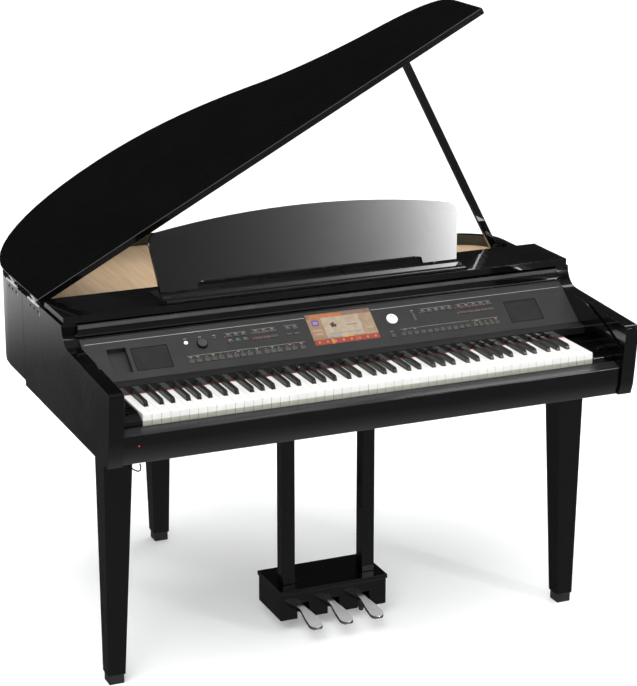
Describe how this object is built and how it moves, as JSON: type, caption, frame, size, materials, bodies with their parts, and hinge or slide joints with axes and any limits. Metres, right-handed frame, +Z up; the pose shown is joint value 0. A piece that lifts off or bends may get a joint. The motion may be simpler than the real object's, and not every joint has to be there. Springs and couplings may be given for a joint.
{
  "type": "digital grand piano",
  "caption": "Digital grand piano with curved rim, lid open on its prop, sloped control panel with screen, music rest, sliding key cover, three legs and a pedal lyre.",
  "frame": {"origin": "on the floor, under the middle of the bounding box", "axes": "+X towards the treble end, +Y away from the player, +Z up"},
  "size_m": [1.4346, 1.192, 1.5977],
  "materials": {
    "polished_ebony": "polished black lacquer",
    "satin_black": "satin black paint",
    "black_plastic": "matt",
    "panel_plastic": "matt dark grey",
    "white_plastic": "gloss",
    "key_white": "fine gloss",
    "key_black": "satin",
    "felt": "felt",
    "spruce": "clear lacquer",
    "frame_wood": "raw",
    "bright_metal": "polished",
    "steel": "plain",
    "black_metal": "black",
    "circuit_board": "green",
    "screen_glass": "gloss cover over a lit picture"
  },
  "bodies": {
    "case": {"left_side_panel": "polished_ebony", "right_side_panel": "polished_ebony", "rim": "polished_ebony", "key_bed": "satin_black", "bottom_board": "satin_black", "key_slip": "polished_ebony", "left_key_block": "polished_ebony", "right_key_block": "polished_ebony", "top_board": "polished_ebony", "soundboard": "spruce", "control_panel": "panel_plastic", "screen": "screen_glass", "left_speaker_grille": "black_plastic", "right_speaker_grille": "black_plastic", "left_panel_speaker": "black_plastic", "right_panel_speaker": "black_plastic", "key_strip": "polished_ebony", "key_felt": "felt", "key_frame": "frame_wood", "left_woofer": "black_plastic", "right_woofer": "black_plastic", "main_circuit_board": "circuit_board", "power_supply": "black_metal", "panel_circuit_board": "circuit_board", "headphone_hanger": "black_metal", "leg_front_left": "polished_ebony", "leg_front_right": "polished_ebony", "leg_rear": "polished_ebony", "lyre_post_left": "polished_ebony", "lyre_post_right": "polished_ebony", "pedal_box": "polished_ebony", "pedal_box_cap": "polished_ebony", "pedal_axle": "steel", "prop_bracket": "steel", "music_ledge": "polished_ebony", "hinge_leaf_fixed_front": "bright_metal", "hinge_leaf_fixed_rear": "bright_metal"},
    "lid": {"lid": "polished_ebony", "hinge_leaf_moving_front": "bright_metal", "hinge_leaf_moving_rear": "bright_metal"},
    "lid_prop": {"lid_prop": "polished_ebony"},
    "short_prop": {"short_prop": "polished_ebony"},
    "music_rest": {"music_rest": "polished_ebony"},
    "rest_stay": {"rest_stay": "steel"},
    "key_cover": {"key_cover": "polished_ebony"},
    "pedal_left": {"pedal_left": "bright_metal"},
    "pedal_middle": {"pedal_middle": "bright_metal"},
    "pedal_right": {"pedal_right": "bright_metal"},
    "pedal_adjuster": {"pedal_adjuster": "black_plastic"},
    "power_button": {"power_button": "white_plastic"},
    "volume_dial": {"volume_dial": "panel_plastic"},
    "data_dial": {"data_dial": "white_plastic"},
    "buttons_left": {"buttons_left": "panel_plastic"},
    "buttons_right": {"buttons_right": "panel_plastic"},
    "white_keys_low": {"white_keys_low": "key_white"},
    "middle_c_key": {"middle_c_key": "key_white"},
    "white_keys_high": {"white_keys_high": "key_white"},
    "black_keys_low": {"black_keys_low": "key_black"},
    "middle_c_sharp_key": {"middle_c_sharp_key": "key_black"},
    "black_keys_high": {"black_keys_high": "key_black"}
  },
  "joints": [
    {"name": "lid_hinge", "type": "hinge", "parent": "case", "child": "lid", "pos_m": [-0.71427, -0.039, 0.9146], "axis": [0, -1, 0], "range_deg": [0, 8]},
    {"name": "lid_prop_fold", "type": "hinge", "parent": "case", "child": "lid_prop", "pos_m": [0.66273, 0.101, 0.893], "axis": [0, -1, 0], "range_deg": [0, 60]},
    {"name": "short_prop_fold", "type": "hinge", "parent": "lid_prop", "child": "short_prop", "pos_m": [0.58903, 0.101, 1.03501], "axis": [0, 1, 0], "range_deg": [0, 30]},
    {"name": "music_rest_fold", "type": "hinge", "parent": "case", "child": "music_rest", "pos_m": [0.00333, -0.11916, 0.93365], "axis": [-1, 0, 0], "range_deg": [0, 75]},
    {"name": "rest_stay_fold", "type": "hinge", "parent": "music_rest", "child": "rest_stay", "pos_m": [0.00333, -0.10262, 1.00893], "axis": [1, 0, 0], "range_deg": [0, 138.29]},
    {"name": "key_cover_slide", "type": "hinge", "parent": "case", "child": "key_cover", "pos_m": [0.00333, -0.1856, 0.0854], "axis": [1, 0, 0], "range_deg": [0, 24.8]},
    {"name": "pedal_left_press", "type": "hinge", "parent": "case", "child": "pedal_left", "pos_m": [-0.08467, -0.167, 0.0625], "axis": [1, 0, 0], "range_deg": [0, 4.5], "stiffness_Nm_per_rad": 40, "springref_deg": -2.86},
    {"name": "pedal_middle_press", "type": "hinge", "parent": "case", "child": "pedal_middle", "pos_m": [0.00333, -0.167, 0.0625], "axis": [1, 0, 0], "range_deg": [0, 4.5], "stiffness_Nm_per_rad": 40, "springref_deg": -2.86},
    {"name": "pedal_right_press", "type": "hinge", "parent": "case", "child": "pedal_right", "pos_m": [0.09133, -0.167, 0.0625], "axis": [1, 0, 0], "range_deg": [0, 4.5], "stiffness_Nm_per_rad": 40, "springref_deg": -2.86},
    {"name": "pedal_adjuster_turn", "type": "hinge", "parent": "case", "child": "pedal_adjuster", "pos_m": [0.11583, -0.209, 0.02], "axis": [0, 0, 1], "continuous": true},
    {"name": "power_button_press", "type": "slide", "parent": "case", "child": "power_button", "axis": [0, 0.604, -0.797], "range_m": [0, 0.0012], "stiffness_N_per_m": 600, "springref_m": -0.001},
    {"name": "volume_dial_turn", "type": "hinge", "parent": "case", "child": "volume_dial", "pos_m": [-0.36667, -0.29424, 0.84332], "axis": [0, -0.604, 0.797], "range_deg": [-140, 140]},
    {"name": "data_dial_turn", "type": "hinge", "parent": "case", "child": "data_dial", "pos_m": [0.15933, -0.29265, 0.84453], "axis": [0, -0.604, 0.797], "continuous": true},
    {"name": "buttons_left_press", "type": "slide", "parent": "case", "child": "buttons_left", "axis": [0, 0.604, -0.797], "range_m": [0, 0.0012], "stiffness_N_per_m": 1500, "springref_m": -0.001},
    {"name": "buttons_right_press", "type": "slide", "parent": "case", "child": "buttons_right", "axis": [0, 0.604, -0.797], "range_m": [0, 0.0012], "stiffness_N_per_m": 1500, "springref_m": -0.001},
    {"name": "white_keys_low_press", "type": "hinge", "parent": "case", "child": "white_keys_low", "pos_m": [0.00333, -0.351, 0.7377], "axis": [1, 0, 0], "range_deg": [0, 3], "stiffness_Nm_per_rad": 60, "springref_deg": -5.73},
    {"name": "middle_c_key_press", "type": "hinge", "parent": "case", "child": "middle_c_key", "pos_m": [0.00333, -0.351, 0.7377], "axis": [1, 0, 0], "range_deg": [0, 3], "stiffness_Nm_per_rad": 2.5, "springref_deg": -5.73},
    {"name": "white_keys_high_press", "type": "hinge", "parent": "case", "child": "white_keys_high", "pos_m": [0.00333, -0.351, 0.7377], "axis": [1, 0, 0], "range_deg": [0, 3], "stiffness_Nm_per_rad": 75, "springref_deg": -5.73},
    {"name": "black_keys_low_press", "type": "hinge", "parent": "case", "child": "black_keys_low", "pos_m": [0.00333, -0.351, 0.7377], "axis": [1, 0, 0], "range_deg": [0, 3], "stiffness_Nm_per_rad": 20, "springref_deg": -5.73},
    {"name": "middle_c_sharp_key_press", "type": "hinge", "parent": "case", "child": "middle_c_sharp_key", "pos_m": [0.00333, -0.351, 0.7377], "axis": [1, 0, 0], "range_deg": [0, 3], "stiffness_Nm_per_rad": 1.5, "springref_deg": -5.73},
    {"name": "black_keys_high_press", "type": "hinge", "parent": "case", "child": "black_keys_high", "pos_m": [0.00333, -0.351, 0.7377], "axis": [1, 0, 0], "range_deg": [0, 3], "stiffness_Nm_per_rad": 25, "springref_deg": -5.73}
  ],
  "couplings": [
    {"joint": "rest_stay_fold", "follows": "music_rest_fold", "ratio": 1.8432}
  ]
}
